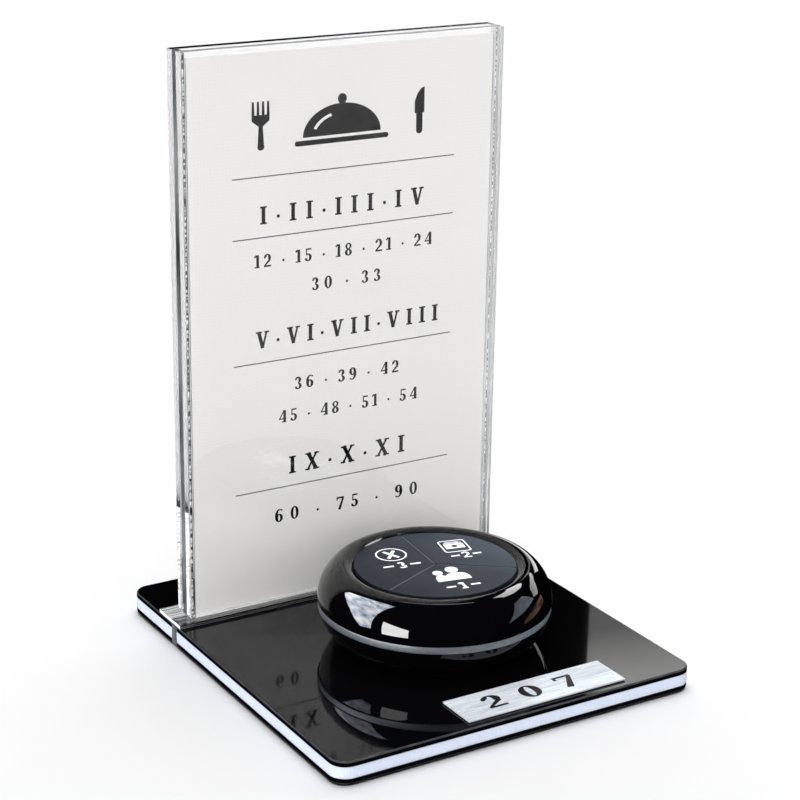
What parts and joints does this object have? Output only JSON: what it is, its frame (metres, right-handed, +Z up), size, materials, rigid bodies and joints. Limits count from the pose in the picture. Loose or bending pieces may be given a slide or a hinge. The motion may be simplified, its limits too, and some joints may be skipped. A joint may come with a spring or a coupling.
{
  "type": "waiter call button",
  "caption": "Round wireless call puck with sprung sector keys on a layered acrylic base, with a clear plug-in menu holder, a loose card and a metal number plate.",
  "frame": {"origin": "on the table, under the middle of the base", "axes": "+X to the guest's right, -Y towards the guest, +Z up"},
  "size_m": [0.141, 0.155, 0.2125],
  "materials": {
    "black_acrylic": "polished",
    "white_acrylic": "translucent, satin cut edge",
    "clear_acrylic": "clear, polished",
    "card": "uncoated print",
    "foot_rubber": "matt",
    "foam_tape": "matt",
    "brushed_aluminium": "brushed",
    "black_gloss_plastic": "piano black",
    "ring_diffuser": "translucent satin",
    "key_plastic": "satin",
    "plunger_plastic": "satin",
    "switch_plastic": "matt",
    "board_laminate": "solder mask",
    "lamp_plastic": "clear resin",
    "steel": "nickel plated",
    "copper_wire": "bare wire",
    "cell_jacket": "printed sleeve"
  },
  "bodies": {
    "stand": {"base_bottom_plate": "black_acrylic", "base_middle_plate": "white_acrylic", "base_top_plate": "black_acrylic", "rubber_foot_front_left": "foot_rubber", "rubber_foot_front_right": "foot_rubber", "rubber_foot_rear_left": "foot_rubber", "rubber_foot_rear_right": "foot_rubber", "plate_tape": "foam_tape", "number_plate": "brushed_aluminium", "mounting_pad": "foam_tape", "lower_shell": "black_gloss_plastic", "upper_shell": "black_gloss_plastic", "light_ring": "ring_diffuser", "battery_door": "black_gloss_plastic", "switch_call": "switch_plastic", "switch_bill": "switch_plastic", "switch_cancel": "switch_plastic", "circuit_board": "board_laminate", "status_led": "lamp_plastic", "ring_leds": "lamp_plastic", "status_light_pipe": "clear_acrylic", "controller_chip": "switch_plastic", "radio_chip": "switch_plastic", "crystal_can": "steel", "antenna_wire": "copper_wire", "battery_cell": "cell_jacket", "battery_plus_contact": "steel", "battery_minus_spring": "steel", "case_screws": "steel", "board_screws": "steel"},
    "holder": {"holder_front_sheet": "clear_acrylic", "holder_back_sheet": "clear_acrylic", "holder_left_spacer": "clear_acrylic", "holder_right_spacer": "clear_acrylic", "holder_tongue": "clear_acrylic", "holder_front_ledge": "clear_acrylic", "holder_rear_flange": "clear_acrylic"},
    "card": {"menu_card": "card"},
    "call_key": {"key_call": "key_plastic", "plunger_call": "plunger_plastic"},
    "bill_key": {"key_bill": "key_plastic", "plunger_bill": "plunger_plastic"},
    "cancel_key": {"key_cancel": "key_plastic", "plunger_cancel": "plunger_plastic"}
  },
  "joints": [
    {"name": "holder_lift", "type": "slide", "parent": "stand", "child": "holder", "axis": [0, 0, 1], "range_m": [0, 0.012]},
    {"name": "card_slide", "type": "slide", "parent": "holder", "child": "card", "axis": [0, 0, 1], "range_m": [0, 0.195]},
    {"name": "call_key_press", "type": "slide", "parent": "stand", "child": "call_key", "axis": [0, 0, -1], "range_m": [0, 0.0004], "stiffness_N_per_m": 3000, "springref_m": -0.0003},
    {"name": "bill_key_press", "type": "slide", "parent": "stand", "child": "bill_key", "axis": [0, 0, -1], "range_m": [0, 0.0004], "stiffness_N_per_m": 3000, "springref_m": -0.0003},
    {"name": "cancel_key_press", "type": "slide", "parent": "stand", "child": "cancel_key", "axis": [0, 0, -1], "range_m": [0, 0.0004], "stiffness_N_per_m": 3000, "springref_m": -0.0003}
  ]
}
